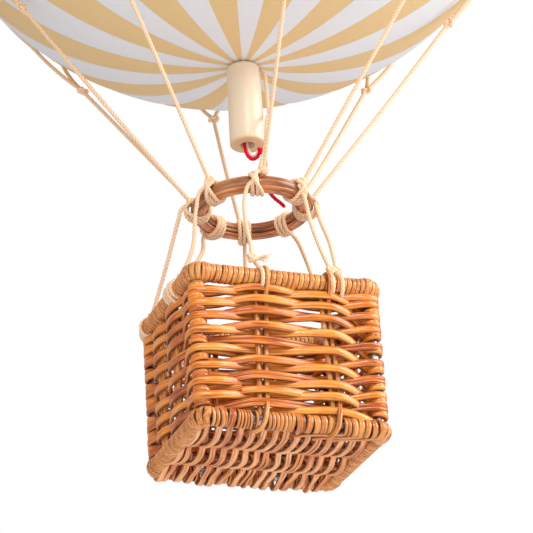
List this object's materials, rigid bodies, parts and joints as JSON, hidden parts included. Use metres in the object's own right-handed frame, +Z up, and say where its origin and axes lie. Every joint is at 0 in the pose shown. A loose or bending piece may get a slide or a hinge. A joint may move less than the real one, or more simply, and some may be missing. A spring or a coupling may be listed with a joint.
{
  "type": "hanging model hot air balloon",
  "caption": "Small hanging model of a hot air balloon: striped round envelope, cord stays, a bent load ring and a woven basket that swings on its cords.",
  "frame": {"origin": "where a ceiling hook bears on the inside of the hanging ring's top", "axes": "+Z up, +X along the basket's long side, -Y towards the side of the load ring with the valve line"},
  "size_m": [0.18, 0.18, 0.3107],
  "materials": {
    "brass": "polished, lightly tarnished",
    "striped_paper": "smooth matt paper with tan and white gores",
    "cream_tube": "smooth satin",
    "cotton_cord": "twisted cotton",
    "red_cord": "twisted red and white thread",
    "bent_rattan": "varnished, with long grooves",
    "wrapped_cane": "varnished flat cane",
    "woven_reed": "glossy varnished round reed",
    "zinc_wire": "dull zinc"
  },
  "bodies": {
    "hanger": {"hanging_ring": "brass"},
    "balloon": {"crown_cap": "brass", "envelope": "striped_paper", "appendix_tube": "cream_tube", "stay_1": "cotton_cord", "stay_2": "cotton_cord", "stay_3": "cotton_cord", "stay_4": "cotton_cord", "stay_5": "cotton_cord", "stay_6": "cotton_cord", "stay_7": "cotton_cord", "stay_8": "cotton_cord", "valve_line": "red_cord"},
    "load_hoop": {"load_ring": "bent_rattan", "ring_lashing_1": "cotton_cord", "ring_lashing_2": "cotton_cord", "ring_lashing_3": "cotton_cord", "ring_lashing_4": "cotton_cord", "ring_lashing_5": "cotton_cord", "ring_lashing_6": "cotton_cord", "ring_lashing_7": "cotton_cord", "ring_lashing_8": "cotton_cord", "basket_cord_1": "cotton_cord", "basket_cord_2": "cotton_cord", "basket_cord_3": "cotton_cord", "basket_cord_4": "cotton_cord", "basket_cord_5": "cotton_cord", "basket_cord_6": "cotton_cord", "basket_cord_7": "cotton_cord", "basket_cord_8": "cotton_cord"},
    "basket": {"basket_top_rim": "wrapped_cane", "basket_base_rim": "wrapped_cane", "corner_post_1": "zinc_wire", "corner_post_2": "zinc_wire", "corner_post_3": "zinc_wire", "corner_post_4": "zinc_wire", "basket_wall_front": "woven_reed", "basket_wall_right": "woven_reed", "basket_wall_back": "woven_reed", "basket_wall_left": "woven_reed", "basket_floor": "woven_reed"}
  },
  "joints": [
    {"name": "crown_swing", "type": "hinge", "parent": "hanger", "child": "balloon", "pos_m": [0, 0, -0.0122], "axis": [1, 0, 0], "range_deg": [-30, 30]},
    {"name": "ring_sway", "type": "hinge", "parent": "balloon", "child": "load_hoop", "pos_m": [0, 0, -0.25887], "axis": [0, 1, 0], "range_deg": [-5, 5], "deforming": ["stay_1", "stay_2", "stay_3", "stay_4", "stay_5", "stay_6", "stay_7", "stay_8"]},
    {"name": "basket_swing", "type": "hinge", "parent": "load_hoop", "child": "basket", "pos_m": [0, 0, -0.20107], "axis": [1, 0, 0], "range_deg": [-8, 8], "deforming": ["basket_cord_1", "basket_cord_2", "basket_cord_3", "basket_cord_4", "basket_cord_5", "basket_cord_6", "basket_cord_7", "basket_cord_8"]}
  ]
}
